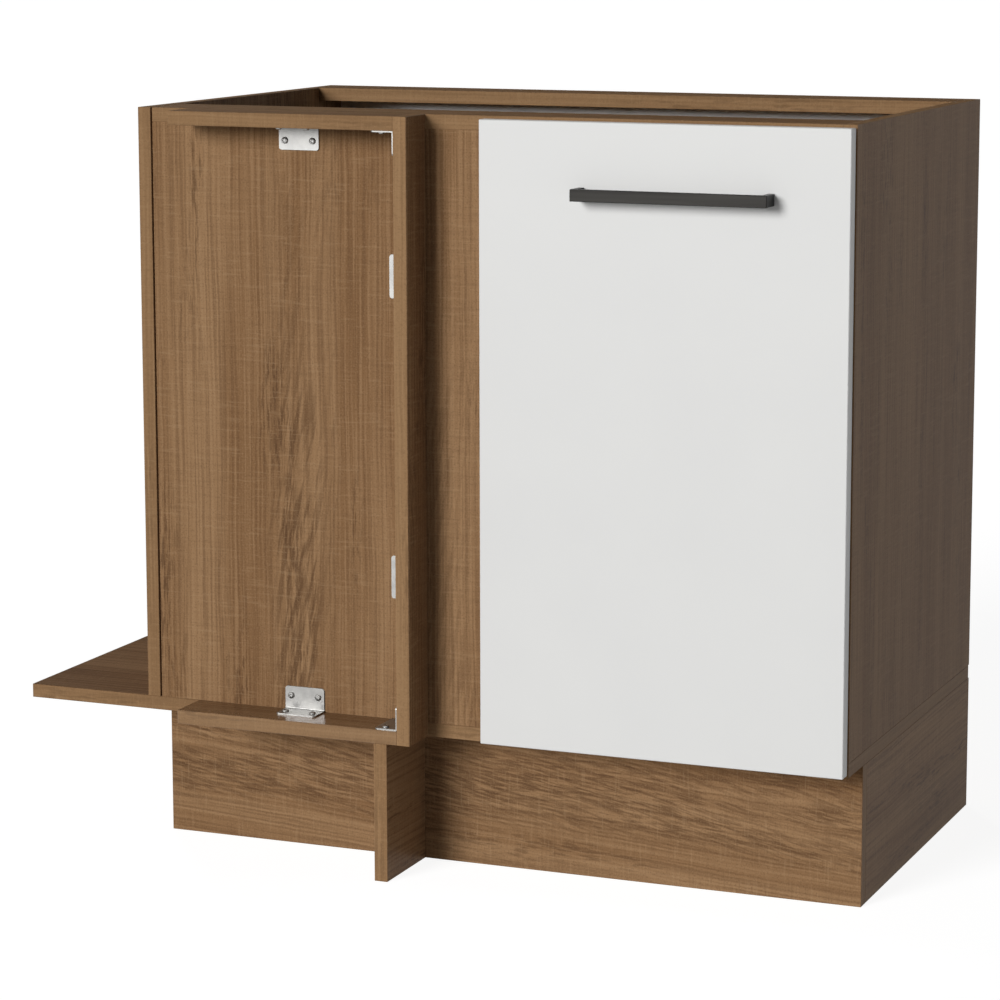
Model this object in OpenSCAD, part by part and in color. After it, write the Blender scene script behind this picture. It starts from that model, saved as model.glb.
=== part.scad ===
// Corner base cabinet of laminated boards: a blind front on the left, one hinged door on the right,
// a spacer that keeps the neighbouring unit off the door, and a plinth frame.
// X runs to the right along the front, Y to the back, Z up, in millimetres. Each piece is drawn
// from the floor point under the front left corner of the carcass, and placed() moves that
// point so that the origin is the middle of the footprint.

/* [Cabinet] */
// Width over both side boards
cabinet_w = 800; // [740:5:1000]
// Depth of the carcass
cabinet_d = 480; // [420:5:600]
// Height from the floor to the top
cabinet_h = 810; // [740:5:900]
// Thickness of the laminated boards
board_t = 15; // [15:0.5:19]
// Ledge of the bottom board left of the cabinet
ledge_l = 146; // [60:1:250]
// Chamfer that eases the edges of the boards
board_ease = 0.4; // [0.2:0.1:1]
// Thickness of the back panel
back_t = 3; // [2.5:0.1:6]
// Rebate in the sides that holds the back panel
rebate_w = 8; // [6:0.5:10]

/* [Rails and blind front] */
// Depth of the front rail, which lies flat
front_rail_d = 70; // [60:1:120]
// Depth of the back rail, which lies flat
back_rail_d = 60; // [60:1:120]
// Gap between the left side and the boards of the front
shadow_gap = 2; // [1:0.5:4]
// Strip of the blind front that the door covers
blind_lap = 25; // [20:1:40]

/* [Spacer] */
// Left end of the spacer
spacer_x = 62; // [40:1:80]
// Width of the spacer
spacer_w = 274; // [240:1:300]
// How far the spacer stands out from the carcass
spacer_d = 49; // [49:1:80]

/* [Plinth] */
// Height of the plinth
plinth_h = 150; // [90:5:170]
// How far the plinth lies behind the front of the carcass
plinth_recess = 52; // [30:1:70]
// Distance of the plinth return from the spacer's side board
return_inset = 12; // [6:1:40]
// How far the return lies behind the front of the spacer
return_setback = 1; // [0:0.5:10]
// How far the back board of the plinth lies in from the back
plinth_back_inset = 20; // [5:1:60]

/* [Shelf] */
// Height of the underside of the shelf above the bottom board
shelf_h = 315; // [290:1:330]
// Gap at each end of the shelf
shelf_gap = 1; // [0.5:0.5:3]
// Gap between the shelf and the boards before and behind it
shelf_setback = 20; // [5:1:60]
// Diameter of the shelf pins
shelf_pin_d = 5; // [4:0.5:7]
// How deep a shelf pin sits in the side
shelf_pin_deep = 9; // [6:0.5:11]
// Distance of the shelf pins from the ends of the shelf's depth
shelf_pin_inset = 40; // [30:1:60]

/* [Door] */
// Left edge of the door
door_x = 403; // [380:1:420]
// Thickness of the door
door_t = 15; // [15:0.5:18]
// Gap between the closed door and the carcass
door_gap = 2; // [2:0.5:2.5]
// Strip of the right side's edge that the door leaves bare
door_side_reveal = 1; // [1:0.5:2]
// Strip of the bottom board's edge that the door leaves bare
door_bottom_reveal = 2.5; // [1:0.5:5]
// Strip of the front rail's edge that the door leaves bare
door_top_reveal = 3; // [0.5:0.5:5]
// Chamfer that eases the edges of the door
door_ease = 0.7; // [0.4:0.1:1]
// Diameter of the door bumpers
bumper_d = 9; // [6:1:10]

/* [Handle] */
// Length of the handle
handle_l = 208; // [160:1:240]
// Height of the handle
handle_h = 12.4; // [10:0.2:16]
// How far the handle stands out from the door
handle_reach = 25.3; // [22:0.1:28]
// Thickness of the grip bar
handle_bar_t = 5; // [4:0.5:6]
// Thickness of the two feet
handle_foot_t = 6; // [6:0.5:9]
// Distance from the top of the door to the top of the handle
handle_drop = 66; // [40:1:90]
// How far the handle lies right of the door's middle
handle_shift = 15.5; // [0:0.5:25]
// Radius inside the corners of the handle
handle_corner_r = 3; // [1:0.5:5]

/* [Angle brackets] */
// Length of a bracket along its fold
bracket_l = 46; // [44:1:48]
// Length of each leaf
bracket_leaf = 26; // [24:0.5:28]
// Thickness of the sheet
bracket_t = 1.6; // [1.2:0.1:2]
// Radius of the leaf corners
bracket_corner_r = 3; // [1:0.5:5]
// Distance between the two holes of a leaf
bracket_pitch = 32; // [30:1:34]
// Distance from the fold to the holes
bracket_hole_y = 16; // [13:0.5:17]
// Distance of the side brackets from the ends of the spacer
side_bracket_inset = 170; // [120:1:200]

/* [Screws] */
// Diameter of the bracket screws
screw_d = 3.5; // [3:0.1:4]
// Length of the bracket screws under the head
screw_l = 13; // [10:0.5:14]
// Diameter of a screw head
head_d = 7.2; // [6.5:0.1:8]
// Height of a screw head
head_h = 2.4; // [2:0.1:2.8]

/* [Carcass fittings] */
// Diameter of the wooden dowels
dowel_d = 8; // [6:1:8]
// Depth of a dowel in each board
dowel_deep = 11; // [8:0.5:12]
// Diameter of the cam housings
cam_d = 15; // [12:0.5:16]
// Distance from the side to the middle of a cam housing
cam_reach = 24; // [20:1:34]
// Distance from the edge of a rail to its cams
cam_edge = 18; // [16:1:22]
// Distance between the cam and the dowel of a rail
cam_to_dowel = 28; // [24:1:30]
// Diameter of the long screws under the bottom board
base_screw_d = 5; // [4:0.5:6]
// Length of the long screws
base_screw_l = 48; // [40:1:50]
// Distance of the sides' dowels from the ends of the depth
side_dowel_inset = 100; // [80:1:140]
// Distance of the sides' long screws from the front and from the back
side_screw_inset = [40, 50]; // [30:1:60]
// Distance of the blind front's dowels and long screws from its upright edges
blind_fixing_inset = 60; // [40:1:100]
// Nails along each upright edge of the back panel
nails_up = 5; // [3:1:8]
// Nails along each level edge of the back panel
nails_across = 7; // [4:1:10]

/* [Door hinges] */
// Distance from the ends of the door to the middle of each hinge
hinge_inset = 100; // [85:1:110]
// Diameter of the hinge cup
cup_d = 35; // [35:0.5:36]
// Depth of the hinge cup in the door
cup_deep = 11.4; // [11.2:0.1:11.8]
// Wood between the cup and the door's edge
cup_edge = 3; // [3:0.5:4]
// Thickness of the cup's flange
flange_t = 1; // [0.8:0.1:1]
// Distance between the two screws of a cup
cup_pitch = 45; // [44:1:48]
// Diameter of the hinge pins
pin_d = 2.5; // [2.2:0.1:2.6]
// Width of a hinge arm
arm_w = 14.4; // [14:0.2:16]
// Thickness of the arm's sheet
arm_t = 1.2; // [1:0.1:1.4]
// Thickness of the outer link's cheeks
link_t = 1.5; // [1.2:0.1:1.8]
// Distance of the mounting plate's screws from the front of the side
plate_setback = 37; // [36:1:40]
// Distance between the two screws of a mounting plate
plate_pitch = 32; // [30:1:36]
// Thickness of the mounting plate's base
plate_t = 3; // [2.5:0.5:4]

/* [Hidden] */
$fn = 48;

// Running clearance of screws, dowels and pins in their holes
fit = 0.05;
// How far a cut runs past the face that it starts from
over = 1;
// A step too small to see, between outlines that would otherwise only touch
hair = 0.02;

// Levels and faces that several pieces share
floor_z = plinth_h + board_t;
rail_z = cabinet_h - board_t;
side_in = cabinet_w - board_t;
back_y = cabinet_d - back_t;
front_x = board_t + shadow_gap;
blind_x = door_x + blind_lap;
spacer_in = spacer_x + spacer_w - board_t;
return_x = spacer_in - return_inset - board_t;
plinth_in = plinth_recess + board_t;
plinth_back_y = cabinet_d - plinth_back_inset - board_t;
shelf_z = floor_z + shelf_h;
shelf_y = board_t + shelf_setback;
shelf_back_y = back_y - shelf_setback;
door_back_y = -door_gap;
door_front_y = -door_gap - door_t;
door_right_x = cabinet_w - door_side_reveal;
door_low_z = plinth_h + door_bottom_reveal;
door_top_z = cabinet_h - door_top_reveal;

oak = "#8f6f4f";
zinc = "#c9c9c6";
white = "#e3e3e1";

// The rotation that turns +Z towards a direction
function turn(to) =
    to == "+x" ? [0, 90, 0] :
    to == "-x" ? [0, -90, 0] :
    to == "+y" ? [-90, 0, 0] :
    to == "-y" ? [90, 0, 0] :
    to == "-z" ? [180, 0, 0] : [0, 0, 0];

module placed() {
    translate([-(cabinet_w - ledge_l) / 2, -(cabinet_d - spacer_d) / 2, 0]) children();
}

// Draws its children at a point, with their +Z towards a direction
module aim(at, to) {
    translate(at) rotate(turn(to)) children();
}

// Hole of a diameter that goes into a board from a point on its face
module hole(at, to, d, deep) {
    aim(at, to) translate([0, 0, -deep]) cylinder(d = d + 2 * fit, h = deep + over);
}

module eased_outline(w, h, ease) {
    polygon([
        [ease, 0], [w - ease, 0], [w, ease], [w, h - ease],
        [w - ease, h], [ease, h], [0, h - ease], [0, ease]
    ]);
}

// Board between two corners, with every edge eased
module board(low, high, ease = board_ease) {
    size = high - low;
    translate(low) intersection() {
        linear_extrude(size.z) eased_outline(size.x, size.y, ease);
        rotate([90, 0, 90]) linear_extrude(size.x) eased_outline(size.y, size.z, ease);
        translate([0, size.y, 0]) rotate([90, 0, 0])
            linear_extrude(size.y) eased_outline(size.x, size.z, ease);
    }
}

// Fasteners

// Pan head screw: the seat of the head is at the origin, and the shank runs down
module pan_screw(d, l) {
    tip = d / 2;
    difference() {
        union() {
            rotate_extrude() polygon([
                [0, 0], [head_d / 2, 0], [head_d / 2, head_h * 0.35], [head_d * 0.42, head_h * 0.72],
                [head_d * 0.25, head_h], [0, head_h]
            ]);
            translate([0, 0, tip - l]) cylinder(d = d, h = l - tip + head_h / 2);
            translate([0, 0, -l]) cylinder(d1 = d / 4, d2 = d, h = tip);
        }
        cross_recess(head_h, head_d * 0.55, head_h * 0.6);
    }
}

module cross_recess(top, span, deep) {
    for (a = [0, 90]) rotate(a)
        translate([-span / 2, -span / 8, top - deep]) cube([span, span / 4, deep + over]);
}

// Countersunk screw: the top of the head is at the origin
module flat_screw(d, l, head) {
    tip = d / 2;
    difference() {
        rotate_extrude() polygon([
            [0, 0], [head / 2, 0], [d / 2, -(head - d) / 2], [d / 2, tip - l], [d / 8, -l], [0, -l]
        ]);
        cross_recess(0, head * 0.5, head * 0.25);
    }
}

module flat_screw_hole(at, to, d, l, head) {
    wide = head / 2 + fit;
    hole(at, to, d, l + fit);
    aim(at, to) rotate_extrude() polygon([
        [0, over], [wide, over], [wide, -fit], [d / 2 + fit, -(head - d) / 2 - fit], [0, -l / 2]
    ]);
}

// Angle brackets

// A bracket stands in the corner of the planes y = 0 and z = 0, with its fold along X
module angle_bracket() {
    color(zinc) difference() {
        translate([-bracket_l / 2, 0, 0]) rotate([90, 0, 90]) linear_extrude(bracket_l) bracket_profile();
        for (leaf = [0, 1]) mirror([0, -leaf, leaf]) {
            for (x = [-1, 1]) {
                translate([x * bracket_pitch / 2, bracket_hole_y, -over])
                    cylinder(d = screw_d + 4 * fit + 0.6, h = bracket_t + 2 * over);
                translate([x * bracket_l / 2, bracket_leaf, -over]) mirror([x > 0 ? 1 : 0, 0, 0])
                    linear_extrude(bracket_t + 2 * over) leaf_corner();
            }
        }
    }
}

module bracket_profile() {
    bend = 2 * bracket_t;
    difference() {
        square(bracket_leaf);
        translate([bracket_t, bracket_t]) square(bracket_leaf);
        difference() {
            translate([-over, -over]) square(bend / 2 + over);
            translate([bend / 2, bend / 2]) circle(r = bend / 2);
        }
    }
    translate([bracket_t, bracket_t]) difference() {
        square(bracket_t / 2);
        translate([bracket_t / 2, bracket_t / 2]) circle(r = bracket_t / 2);
    }
}

// What a rounded corner takes off a leaf's end at the origin, towards +X and -Y
module leaf_corner() {
    r = bracket_corner_r;
    difference() {
        translate([-over, -r]) square([r + over, r + over]);
        translate([r, -r]) circle(r = r);
    }
}

// The screws of one bracket, drawn in the bracket's own corner
module bracket_fixings(holes = false) {
    for (leaf = [0, 1]) mirror([0, -leaf, leaf])
        for (x = [-1, 1]) translate([x * bracket_pitch / 2, bracket_hole_y, bracket_t]) {
            if (holes) translate([0, 0, -screw_l - fit]) cylinder(d = screw_d + 2 * fit, h = screw_l + fit);
            else pan_screw(screw_d, screw_l);
        }
}

// The corner and the rotation of each bracket of the spacer
spacer_mid_x = (spacer_x + spacer_in) / 2;
spacer_corners = [
    [[spacer_mid_x, 0, rail_z], [180, 0, 0]],
    [[spacer_mid_x, 0, floor_z], [0, 0, 180]],
    [[spacer_in, 0, cabinet_h - side_bracket_inset], [90, -90, 0]],
    [[spacer_in, 0, plinth_h + side_bracket_inset], [90, -90, 0]],
    [[spacer_in, -spacer_d / 2, rail_z], [180, 0, -90]],
    [[spacer_in, -spacer_d / 2, floor_z], [0, 0, 90]]
];

// The brackets inside the plinth: its four corners, the return, and four under the bottom board
plinth_mid_z = plinth_h / 2;
plinth_corners = [
    [[board_t, plinth_in, plinth_mid_z], [-90, -90, 0]],
    [[side_in, plinth_in, plinth_mid_z], [-90, 90, 0]],
    [[board_t, plinth_back_y, plinth_mid_z], [90, 90, 0]],
    [[side_in, plinth_back_y, plinth_mid_z], [90, -90, 0]],
    [[return_x, plinth_recess, plinth_mid_z], [90, -90, 0]],
    [[cabinet_w / 4, plinth_in, plinth_h], [0, 180, 0]],
    [[cabinet_w * 3 / 4, plinth_in, plinth_h], [0, 180, 0]],
    [[cabinet_w / 4, plinth_back_y, plinth_h], [180, 0, 0]],
    [[cabinet_w * 3 / 4, plinth_back_y, plinth_h], [180, 0, 0]]
];

module at_corner(corner) {
    translate(corner[0]) rotate(corner[1]) children();
}

module spacer_screw_holes() {
    for (corner = spacer_corners) at_corner(corner) bracket_fixings(holes = true);
}

module plinth_screw_holes() {
    for (corner = plinth_corners) at_corner(corner) bracket_fixings(holes = true);
}

// Rail fittings: a cam housing, its bolt and a dowel at each end of both rails

// Each fitting: the face of the side that it stands on, and the direction into the rail
rail_ends = [[board_t, 1], [side_in, -1]];
rail_cam_ys = [cam_edge, back_y - back_rail_d + cam_edge];
rail_mid_z = cabinet_h - board_t / 2;
cam_deep = board_t - 2.4;
cam_bolt_d = 6.6;
cam_bolt_deep = 11;
cam_neck_d = 4.4;

module cam_places() {
    for (end = rail_ends, y = rail_cam_ys)
        translate([end[0], y, rail_mid_z]) mirror([end[1] > 0 ? 0 : 1, 0, 0]) children();
}

// The bolt, from the side's face at the origin towards +X
module cam_bolt() {
    rotate([0, 90, 0]) {
        translate([0, 0, -cam_bolt_deep]) cylinder(d = cam_bolt_d, h = cam_bolt_deep);
        cylinder(d = cam_neck_d, h = cam_reach);
        translate([0, 0, cam_reach - 2]) cylinder(d = cam_bolt_d, h = 4);
    }
}

module cam_bolt_space() {
    rotate([0, 90, 0]) translate([0, 0, -cam_bolt_deep - fit])
        cylinder(d = cam_bolt_d + 2 * fit, h = cam_reach + cam_bolt_deep);
}

module cam_housing() {
    difference() {
        translate([cam_reach, 0, -board_t / 2]) cylinder(d = cam_d, h = cam_deep);
        cam_bolt_space();
        translate([cam_reach, 0, 0]) sphere(d = cam_bolt_d + 2.4);
        translate([cam_reach, 0, -board_t / 2]) mirror([0, 0, 1]) cross_recess(0, cam_d * 0.5, 1.6);
    }
}

module cam_pocket() {
    translate([cam_reach, 0, -board_t / 2 - over]) cylinder(d = cam_d + 2 * fit, h = cam_deep + fit + over);
}

module dowel(at, to) {
    color("#d9b98a") aim(at, to) translate([0, 0, -dowel_deep]) cylinder(d = dowel_d, h = 2 * dowel_deep);
}

// Where the sides and the blind front are fixed to the boards above and below them
side_middles = [board_t / 2, cabinet_w - board_t / 2];
blind_fixings = [front_x + blind_fixing_inset, blind_x - blind_fixing_inset];

// Dowels of the rails, the sides and the blind front: a point between two boards, and a direction
dowel_spots = concat(
    [for (y = rail_cam_ys) [[side_in, y + cam_to_dowel, rail_mid_z], "+x"]],
    [[[board_t, rail_cam_ys[1] + cam_to_dowel, rail_mid_z], "+x"]],
    [for (x = side_middles, y = [side_dowel_inset, cabinet_d - side_dowel_inset]) [[x, y, floor_z], "+z"]],
    [for (x = blind_fixings) [[x, board_t / 2, rail_z], "+z"]]
);

module dowel_holes() {
    for (spot = dowel_spots) aim(spot[0], spot[1])
        translate([0, 0, -dowel_deep - fit]) cylinder(d = dowel_d + 2 * fit, h = 2 * (dowel_deep + fit));
}

// Long screws up through the bottom board into the sides and the blind front
base_head_d = 2 * base_screw_d;
base_screw_spots = concat(
    [for (x = side_middles, y = [side_screw_inset[0], cabinet_d - side_screw_inset[1]]) [x, y, plinth_h]],
    [for (x = blind_fixings) [x, board_t / 2, plinth_h]]
);

module base_screw_holes() {
    for (at = base_screw_spots) flat_screw_hole(at, "-z", base_screw_d, base_screw_l, base_head_d);
}

// Back panel nails: the two upright edges, the bottom board and the back rail
nail_d = 1.6;
nail_l = 18;
nail_head_d = 3.6;
nail_head_h = 0.6;
nail_inset = 60;
nail_step_z = (cabinet_h - plinth_h - 2 * nail_inset) / (nails_up - 1);
nail_step_x = (cabinet_w - 2 * nail_inset) / (nails_across - 1);
nail_spots = concat(
    [for (x = [board_t - rebate_w / 2, side_in + rebate_w / 2], i = [0 : nails_up - 1])
        [x, cabinet_d, plinth_h + nail_inset + i * nail_step_z]],
    [for (z = [plinth_h + board_t / 2, rail_mid_z], i = [0 : nails_across - 1])
        [nail_inset + i * nail_step_x, cabinet_d, z]]
);

module nail_holes() {
    for (at = nail_spots) {
        hole(at, "+y", nail_d, nail_l + fit);
        hole(at, "+y", nail_head_d, nail_head_h);
    }
}

// Shelf pins, in one of three rows of holes
pin_ys = [shelf_y + shelf_pin_inset, shelf_back_y - shelf_pin_inset];
pin_tongue_t = 2;
pin_tongue_l = 8;
pin_collar_t = 1.2;
shelf_pin_z = shelf_z - pin_tongue_t - shelf_pin_d / 4;
shelf_row_step = 32;

module shelf_pin_places() {
    for (end = rail_ends, y = pin_ys)
        translate([end[0], y, shelf_pin_z]) mirror([end[1] > 0 ? 0 : 1, 0, 0]) children();
}

module shelf_pin_holes() {
    shelf_pin_places() for (row = [-1, 0, 1]) translate([0, 0, row * shelf_row_step])
        hole([0, 0, 0], "+x", shelf_pin_d, shelf_pin_deep + 1);
}

// The pieces of the carcass

module bottom_board() {
    color(oak) difference() {
        board([-ledge_l, 0, plinth_h], [cabinet_w, back_y, floor_z]);
        base_screw_holes();
        dowel_holes();
        plinth_screw_holes();
        nail_holes();
    }
}

module side_board(x, inner) {
    difference() {
        board([x, 0, floor_z], [x + board_t, cabinet_d, cabinet_h]);
        translate([inner > 0 ? x + board_t - rebate_w : x - over, back_y, floor_z - over])
            cube([rebate_w + over, back_t + over, cabinet_h]);
        cam_places() cam_bolt_space();
        dowel_holes();
        base_screw_holes();
        shelf_pin_holes();
        nail_holes();
    }
}

module left_side() {
    color(oak) side_board(0, 1);
}

module right_side() {
    color(oak) difference() {
        side_board(side_in, -1);
        for (z = hinge_zs, end = [-1, 1])
            hole([side_in, plate_setback, z + end * plate_pitch / 2], "-x", screw_d, plate_screw_deep + fit);
    }
}

module rail(y, deep, x) {
    difference() {
        board([x, y, rail_z], [side_in, y + deep, cabinet_h]);
        cam_places() cam_bolt_space();
        cam_places() cam_pocket();
        dowel_holes();
        nail_holes();
    }
}

module front_rail() {
    color(oak) rail(0, front_rail_d, front_x);
}

module back_rail() {
    color(oak) rail(back_y - back_rail_d, back_rail_d, board_t);
}

module blind_front() {
    color(oak) difference() {
        board([front_x, 0, floor_z], [blind_x, board_t, rail_z]);
        spacer_screw_holes();
        base_screw_holes();
        dowel_holes();
    }
}

module back_panel() {
    color(white) difference() {
        translate([board_t - rebate_w, back_y, plinth_h])
            cube([cabinet_w - 2 * (board_t - rebate_w), back_t, cabinet_h - plinth_h]);
        nail_holes();
    }
}

module back_nails() {
    color(zinc) for (at = nail_spots) aim(at, "+y") {
        translate([0, 0, -nail_head_h]) cylinder(d = nail_head_d, h = nail_head_h);
        translate([0, 0, -nail_l]) cylinder(d = nail_d, h = nail_l);
    }
}

module shelf() {
    color(oak) board([board_t + shelf_gap, shelf_y, shelf_z],
                     [side_in - shelf_gap, shelf_back_y, shelf_z + board_t]);
}

module shelf_pins() {
    tongue_w = shelf_pin_d * 1.6;
    under_shelf = shelf_z - shelf_pin_z;
    color(zinc) shelf_pin_places() {
        aim([0, 0, 0], "+x") {
            translate([0, 0, -shelf_pin_deep]) cylinder(d = shelf_pin_d, h = shelf_pin_deep + pin_collar_t);
            cylinder(d = 2 * (under_shelf - fit), h = pin_collar_t);
        }
        translate([0, -tongue_w / 2, under_shelf - pin_tongue_t])
            cube([pin_tongue_l, tongue_w, pin_tongue_t]);
    }
}

// The pieces of the spacer

module spacer_top() {
    color(oak) difference() {
        board([spacer_x, -spacer_d, rail_z], [spacer_in, 0, cabinet_h]);
        spacer_screw_holes();
    }
}

module spacer_bottom() {
    color(oak) difference() {
        board([spacer_x, -spacer_d, plinth_h], [spacer_in, 0, floor_z]);
        spacer_screw_holes();
    }
}

module spacer_side() {
    color(oak) difference() {
        board([spacer_in, -spacer_d, plinth_h], [spacer_in + board_t, 0, cabinet_h]);
        spacer_screw_holes();
    }
}

module bracket_top() { at_corner(spacer_corners[0]) angle_bracket(); }
module bracket_bottom() { at_corner(spacer_corners[1]) angle_bracket(); }
module bracket_side_upper() { at_corner(spacer_corners[2]) angle_bracket(); }
module bracket_side_lower() { at_corner(spacer_corners[3]) angle_bracket(); }
module bracket_corner_top() { at_corner(spacer_corners[4]) angle_bracket(); }
module bracket_corner_bottom() { at_corner(spacer_corners[5]) angle_bracket(); }

module bracket_screws() {
    color(zinc) for (corner = spacer_corners) at_corner(corner) bracket_fixings();
}

// The pieces of the plinth

module plinth_front() {
    color(oak) difference() {
        board([0, plinth_recess, 0], [cabinet_w, plinth_in, plinth_h]);
        plinth_screw_holes();
    }
}

module plinth_return() {
    color(oak) difference() {
        board([return_x, return_setback - spacer_d, 0], [return_x + board_t, plinth_recess, plinth_h]);
        plinth_screw_holes();
    }
}

module plinth_left() {
    color(oak) difference() {
        board([0, plinth_in, 0], [board_t, cabinet_d, plinth_h]);
        plinth_screw_holes();
    }
}

module plinth_right() {
    color(oak) difference() {
        board([side_in, plinth_in, 0], [cabinet_w, cabinet_d, plinth_h]);
        plinth_screw_holes();
    }
}

module plinth_back() {
    color(oak) difference() {
        board([board_t, plinth_back_y, 0], [side_in, plinth_back_y + board_t, plinth_h]);
        plinth_screw_holes();
    }
}

module plinth_brackets() {
    for (corner = plinth_corners) at_corner(corner) angle_bracket();
}

module plinth_bracket_screws() {
    color(zinc) for (corner = plinth_corners) at_corner(corner) bracket_fixings();
}

// Carcass fasteners

module base_screws() {
    color(zinc) for (at = base_screw_spots) aim(at, "-z") flat_screw(base_screw_d, base_screw_l, base_head_d);
}

module cam_housings() {
    color(zinc) cam_places() cam_housing();
}

module cam_bolts() {
    color(zinc) cam_places() cam_bolt();
}

module dowels() {
    for (spot = dowel_spots) dowel(spot[0], spot[1]);
}

// The door and what it carries

handle_mid_x = (door_x + door_right_x) / 2 + handle_shift;
handle_z = door_top_z - handle_drop - handle_h;
handle_front_y = door_front_y - handle_reach;
handle_screw_xs = [for (s = [-1, 1]) handle_mid_x + s * (handle_l - handle_foot_t) / 2];
handle_screw_d = 3.6;
handle_thread_deep = 10;
bumper_inset = 8;
bumper_gap = 0.3;

module door_panel() {
    color(white) difference() {
        board([door_x, door_front_y, door_low_z], [door_right_x, door_back_y, door_top_z], door_ease);
        for (x = handle_screw_xs)
            hole([x, door_back_y, handle_z + handle_h / 2], "+y", handle_screw_d, door_t + over);
        for (z = hinge_zs) at_hinge(z) {
            hole([0, 0, 0], "+y", cup_d, cup_deep + fit);
            cup_screw_holes();
        }
    }
}

module handle() {
    r = handle_corner_r;
    grip_l = handle_l - 2 * handle_foot_t;
    color("#403f3c") difference() {
        board([handle_mid_x - handle_l / 2, handle_front_y, handle_z],
              [handle_mid_x + handle_l / 2, door_front_y, handle_z + handle_h], 0.6);
        translate([handle_mid_x - grip_l / 2, handle_front_y + handle_bar_t, handle_z - over])
            linear_extrude(handle_h + 2 * over) union() {
                translate([r, 0]) square([grip_l - 2 * r, handle_reach]);
                translate([0, r]) square([grip_l, handle_reach]);
                for (x = [r, grip_l - r]) translate([x, r]) circle(r = r);
            }
        for (x = handle_screw_xs)
            hole([x, door_front_y, handle_z + handle_h / 2], "+y", handle_screw_d, handle_thread_deep);
    }
}

module handle_screws() {
    color(zinc) for (x = handle_screw_xs)
        aim([x, door_back_y, handle_z + handle_h / 2], "+y")
            pan_screw(handle_screw_d, door_t + handle_thread_deep - 1);
}

module door_bumpers() {
    h = door_gap - bumper_gap;
    color("#e8e8e4") for (z = [door_low_z + bumper_inset, door_top_z - bumper_inset])
        aim([door_x + bumper_inset, door_back_y, z], "+y") rotate_extrude() polygon([
            [0, 0], [bumper_d / 2, 0], [bumper_d / 2, h * 0.5], [bumper_d / 3, h], [0, h]
        ]);
}

// Concealed hinges: a cup in the door, a plate on the right side with an arm, and two links between them.
// Each hinge is drawn from the middle of its cup's mouth. The pivots lie in the plane of X and Y, and
// the pieces are layers on both sides of z = 0: the inner link in the middle, the cheeks of the outer
// link beside it, and the cheeks of the arm outside. The outer link's pins are short rivets in the
// cheeks, so that the inner link passes between them.

hinge_x = door_right_x - cup_edge - cup_d / 2;
hinge_zs = [door_low_z + hinge_inset, door_top_z - hinge_inset];
arm_half = arm_w / 2;
arm_in = arm_half - arm_t;
layer_gap = 0.2;
cheek_out = arm_in - layer_gap;
cheek_in = cheek_out - link_t;
inner_half = cheek_in - 2 * layer_gap;
eye_d = pin_d + 2.3;
link_w = 3.6;

// The four pivots at rest, and the bends of the two links
arm_outer_pivot = [-13.5, 4.6];
arm_inner_pivot = [-19, 7.5];
cup_outer_pivot = [8.5, -3.1];
cup_inner_pivot = [8.8, -7.6];
outer_bend = [-2.5, -3];
inner_bend = [-2.2, -7.4];

// The arm's pin runs in a slot of the inner link, as a linkage with four tight pivots would bind
slot_w = pin_d + 0.9;
slot_l = 2.5;
slot_way = (arm_inner_pivot - cup_inner_pivot) / norm(arm_inner_pivot - cup_inner_pivot);
slot_end = arm_inner_pivot + slot_l * slot_way;

// The round bar that joins the cheeks of the outer link, and the ears that hold it
bridge_d = 2;
bridge_at = [-11.5, 8.4];
ear_w = 3.2;

// The arm's web runs from beside the pivots down to the rail of the plate
side_face_x = side_in - hinge_x;
plate_y = plate_setback - door_back_y;
rail_front_y = plate_y - 5;
rail_back_y = plate_y + 29;
rail_top_x = -9.5;
rail_half = arm_in - 0.4;
web_x = rail_top_x - arm_t / 2;
web_tip_x = -25.6;
arm_end_y = rail_back_y + 2;
web_line = [[web_tip_x, 6.5], [web_tip_x, 16], [web_x, rail_front_y], [web_x, arm_end_y]];
arm_foot_x = side_face_x - plate_t - 1;
arm_tip_d = 5;
arm_screw_d = 4;
arm_screw_l = 9;
arm_screw_y = plate_y + 20;
plate_screw_deep = 11;
plate_screw_l = plate_t + plate_screw_deep;
flat_head_d = 2 * screw_d;
wing_w = 12;
function plate_screw_at(end) = [side_face_x - plate_t, plate_y, end * plate_pitch / 2];

// The cup
cup_wall = 1;
cup_rim = 1.5;
cup_pin_half = arm_in + 1.5;
cup_screw_x = -9.5;
cup_screw_l = 12;
pin_head_h = 0.6;
function cup_screw_at(end) = [cup_screw_x, flange_t, end * cup_pitch / 2];

module at_hinge(z) {
    translate([hinge_x, door_back_y, z]) children();
}

// An outline in the plane of the pivots, as one slab or as two layers about z = 0
module slab(half) {
    translate([0, 0, -half]) linear_extrude(2 * half) children();
}

module layers(low, high) {
    for (side = [0, 1]) mirror([0, 0, side]) translate([0, 0, low]) linear_extrude(high - low) children();
}

// Flat bar between two points. Its round ends are a hair wider than its straight, so that they cross it
module bar(a, b, w) {
    way = b - a;
    straight_w = w - 2 * hair;
    translate(a) rotate(atan2(way.y, way.x)) translate([0, -straight_w / 2]) square([norm(way), straight_w]);
    for (end = [a, b]) translate(end) circle(d = w);
}

module pivot_bore(at) {
    translate([at.x, at.y, -arm_w]) cylinder(d = pin_d + 2 * fit, h = 2 * arm_w);
}

module inner_link() {
    color(zinc) difference() {
        slab(inner_half) {
            bar(cup_inner_pivot, inner_bend, link_w);
            bar(inner_bend, arm_inner_pivot, link_w);
            translate(cup_inner_pivot) circle(d = eye_d);
            bar(arm_inner_pivot, slot_end, slot_w + 2.2);
        }
        pivot_bore(cup_inner_pivot);
        slab(inner_half + over) bar(arm_inner_pivot, slot_end, slot_w);
    }
}

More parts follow.
